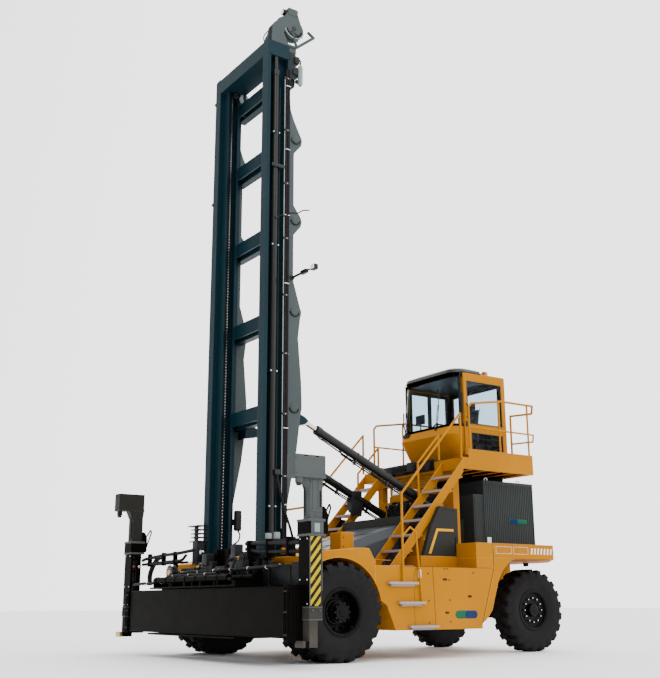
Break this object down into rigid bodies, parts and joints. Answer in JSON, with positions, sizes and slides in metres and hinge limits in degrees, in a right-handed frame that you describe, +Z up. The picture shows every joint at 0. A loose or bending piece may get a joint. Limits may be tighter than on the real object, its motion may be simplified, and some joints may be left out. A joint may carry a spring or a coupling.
{
  "type": "empty container handler",
  "caption": "Port machine with a tall two-stage mast, a telescoping side-lift spreader, a raised cab on a platform with stairs, twin front wheels and steered rear wheels.",
  "frame": {"origin": "on the ground, midway between the front of the spreader and the tow jaw, on the machine's centre plane", "axes": "+X to the machine's left, -Y forwards (mast and spreader at the front), +Z up"},
  "size_m": [5.952, 6.6219, 10.885],
  "materials": {
    "body_orange": "gloss",
    "mast_slate": "satin",
    "spreader_black": "satin",
    "hood_grey": "satin",
    "battery_black": "satin",
    "axle_black": "satin",
    "rim_black": "gloss",
    "tread_grey": "matte",
    "tyre": "matte",
    "glass": "clear",
    "hose_rubber": "matte",
    "rod_chrome": "polished",
    "cylinder_black": "gloss",
    "chain_steel": "oiled",
    "seat_fabric": "woven",
    "plastic_black": "matte",
    "amber": "gloss"
  },
  "bodies": {
    "chassis": {"chassis_frame": "body_orange", "drive_axle": "axle_black", "steer_axle": "axle_black", "side_bodies": "body_orange", "front_fenders": "body_orange", "rear_deck": "body_orange", "rear_arches": "body_orange", "counterweight": "body_orange", "side_boxes": "body_orange", "hood": "hood_grey", "housing": "battery_black", "side_covers": "hood_grey", "battery": "battery_black", "gantry": "body_orange", "platform": "body_orange", "cab_mounts": "spreader_black", "platform_rails": "body_orange", "stairs": "body_orange", "stair_rails": "body_orange", "side_steps": "tread_grey", "cab_floor": "body_orange", "cab_shell": "body_orange", "cab_glass": "glass", "cab_roof": "plastic_black", "seat": "seat_fabric", "steering_console": "plastic_black", "beacon": "amber"},
    "cab_door": {"cab_door": "body_orange", "cab_door_glass": "glass"},
    "front_wheel_left": {"front_tyres_left": "tyre", "front_rims_left": "rim_black"},
    "front_wheel_right": {"front_tyres_right": "tyre", "front_rims_right": "rim_black"},
    "knuckle_left": {"knuckle_left": "axle_black"},
    "knuckle_right": {"knuckle_right": "axle_black"},
    "rear_wheel_left": {"rear_tyre_left": "tyre", "rear_rim_left": "rim_black"},
    "rear_wheel_right": {"rear_tyre_right": "tyre", "rear_rim_right": "rim_black"},
    "outer_mast": {"mast_columns": "mast_slate", "mast_side_plates": "mast_slate", "mast_beams": "mast_slate", "lift_cylinders": "cylinder_black", "mast_hoses": "hose_rubber"},
    "inner_mast": {"inner_mast": "mast_slate", "head_beam": "mast_slate", "head_bracket": "mast_slate", "lift_rods": "rod_chrome", "lift_chains": "chain_steel"},
    "carriage": {"carriage": "mast_slate"},
    "spreader": {"spreader_frame": "spreader_black", "telescope_cylinders": "cylinder_black"},
    "arm_left": {"arm_left": "spreader_black"},
    "arm_right": {"arm_right": "spreader_black"},
    "head_left": {"head_left": "spreader_black"},
    "head_right": {"head_right": "spreader_black"},
    "tilt_barrel_left": {"tilt_barrel_left": "cylinder_black"},
    "tilt_barrel_right": {"tilt_barrel_right": "cylinder_black"},
    "tilt_rod_left": {"tilt_rod_left": "rod_chrome"},
    "tilt_rod_right": {"tilt_rod_right": "rod_chrome"}
  },
  "joints": [
    {"name": "cab_door_slide", "type": "slide", "parent": "chassis", "child": "cab_door", "axis": [0, 1, 0], "range_m": [0, 0.6]},
    {"name": "front_wheel_left_spin", "type": "hinge", "parent": "chassis", "child": "front_wheel_left", "pos_m": [1.879, -1.8875, 0.685], "axis": [1, 0, 0], "continuous": true},
    {"name": "front_wheel_right_spin", "type": "hinge", "parent": "chassis", "child": "front_wheel_right", "pos_m": [-1.879, -1.8875, 0.685], "axis": [1, 0, 0], "continuous": true},
    {"name": "steer_left", "type": "hinge", "parent": "chassis", "child": "knuckle_left", "pos_m": [0.92, 2.6425, 0.685], "axis": [0, 0, 1], "range_deg": [-60, 60]},
    {"name": "steer_right", "type": "hinge", "parent": "chassis", "child": "knuckle_right", "pos_m": [-0.92, 2.6425, 0.685], "axis": [0, 0, 1], "range_deg": [-60, 60]},
    {"name": "rear_wheel_left_spin", "type": "hinge", "parent": "knuckle_left", "child": "rear_wheel_left", "pos_m": [1.17, 2.6425, 0.685], "axis": [1, 0, 0], "continuous": true},
    {"name": "rear_wheel_right_spin", "type": "hinge", "parent": "knuckle_right", "child": "rear_wheel_right", "pos_m": [-1.17, 2.6425, 0.685], "axis": [1, 0, 0], "continuous": true},
    {"name": "mast_tilt", "type": "hinge", "parent": "chassis", "child": "outer_mast", "pos_m": [0, -2.0475, 1.02], "axis": [1, 0, 0], "range_deg": [-4, 3]},
    {"name": "tilt_barrel_left_swing", "type": "hinge", "parent": "chassis", "child": "tilt_barrel_left", "pos_m": [0.72, 1.0625, 2.335], "axis": [1, 0, 0], "range_deg": [-1.3, 1.1]},
    {"name": "tilt_rod_left_slide", "type": "slide", "parent": "tilt_barrel_left", "child": "tilt_rod_left", "axis": [0, -0.9066, 0.4221], "range_m": [-0.19, 0.15]},
    {"name": "tilt_barrel_right_swing", "type": "hinge", "parent": "chassis", "child": "tilt_barrel_right", "pos_m": [-0.72, 1.0625, 2.335], "axis": [1, 0, 0], "range_deg": [-1.3, 1.1]},
    {"name": "tilt_rod_right_slide", "type": "slide", "parent": "tilt_barrel_right", "child": "tilt_rod_right", "axis": [0, -0.9066, 0.4221], "range_m": [-0.19, 0.15]},
    {"name": "mast_lift", "type": "slide", "parent": "outer_mast", "child": "inner_mast", "axis": [0, 0, 1], "range_m": [0, 8.2]},
    {"name": "carriage_lift", "type": "slide", "parent": "inner_mast", "child": "carriage", "axis": [0, 0, 1], "range_m": [0, 8.2]},
    {"name": "sideshift", "type": "slide", "parent": "carriage", "child": "spreader", "axis": [1, 0, 0], "range_m": [-0.6, 0.6]},
    {"name": "arm_left_extend", "type": "slide", "parent": "spreader", "child": "arm_left", "axis": [1, 0, 0], "range_m": [0, 3.067]},
    {"name": "arm_right_extend", "type": "slide", "parent": "spreader", "child": "arm_right", "axis": [-1, 0, 0], "range_m": [0, 3.067]},
    {"name": "head_left_rise", "type": "slide", "parent": "arm_left", "child": "head_left", "axis": [0, 0, 1], "range_m": [0, 0.305]},
    {"name": "head_right_rise", "type": "slide", "parent": "arm_right", "child": "head_right", "axis": [0, 0, 1], "range_m": [0, 0.305]}
  ],
  "couplings": [
    {"joint": "steer_right", "follows": "steer_left", "ratio": 1},
    {"joint": "tilt_barrel_left_swing", "follows": "mast_tilt", "ratio": 0.25623},
    {"joint": "tilt_rod_left_slide", "follows": "mast_tilt", "m_per_rad": 2.5048},
    {"joint": "tilt_barrel_right_swing", "follows": "mast_tilt", "ratio": 0.25623},
    {"joint": "tilt_rod_right_slide", "follows": "mast_tilt", "m_per_rad": 2.5048},
    {"joint": "carriage_lift", "follows": "mast_lift", "ratio": 1}
  ]
}
